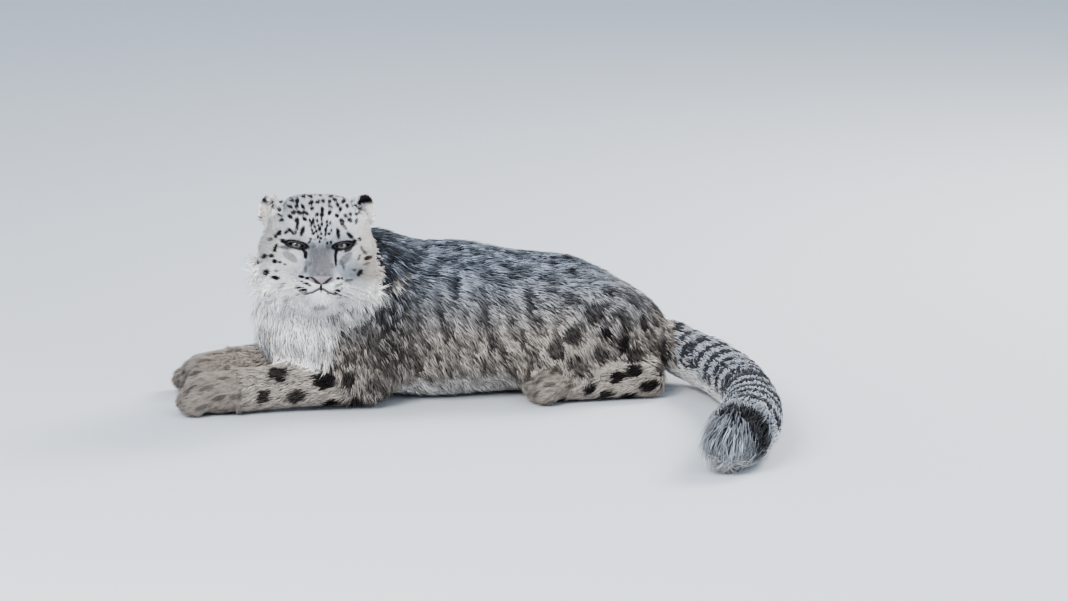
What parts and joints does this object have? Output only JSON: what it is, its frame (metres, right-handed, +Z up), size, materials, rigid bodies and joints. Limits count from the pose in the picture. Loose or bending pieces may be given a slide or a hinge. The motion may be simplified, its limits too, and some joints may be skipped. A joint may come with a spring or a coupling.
{
  "type": "snow leopard lying with its head turned",
  "caption": "Life-size snow leopard lying on its breast, forelegs stretched forward, head turned to its left and long tail laid round on the ground.",
  "frame": {"origin": "under the middle of the whole animal's box, on the ground it lies on", "axes": "+Z up; -X towards the breast and the outstretched forepaws, +X towards the rump; -Y towards the animal's left side, which the face looks to and the tail sweeps round to"},
  "size_m": [0.9774, 0.9162, 0.366],
  "materials": {
    "coat": "matte fur, smoky grey with dark rosettes",
    "pale_coat": "matte fur, cream white",
    "eye": "wet gloss, pale grey-green",
    "nose": "satin, pinkish grey"
  },
  "bodies": {
    "root": {"ear_left": "coat", "ear_right": "coat", "eye_left": "eye", "eye_right": "eye", "foreleg_left_lower": "coat", "foreleg_left_paw": "coat", "foreleg_left_upper": "coat", "foreleg_right_lower": "coat", "foreleg_right_paw": "coat", "foreleg_right_upper": "coat", "head": "coat", "hindleg_left_lower": "coat", "hindleg_left_paw": "coat", "hindleg_left_upper": "coat", "hindleg_right_lower": "coat", "hindleg_right_paw": "coat", "hindleg_right_upper": "coat", "neck": "pale_coat", "nose": "nose", "tail_1": "coat", "tail_2": "coat", "tail_3": "coat", "tail_4": "coat", "torso_belly": "coat", "torso_chest": "coat", "torso_rump": "coat"}
  },
  "joints": []
}
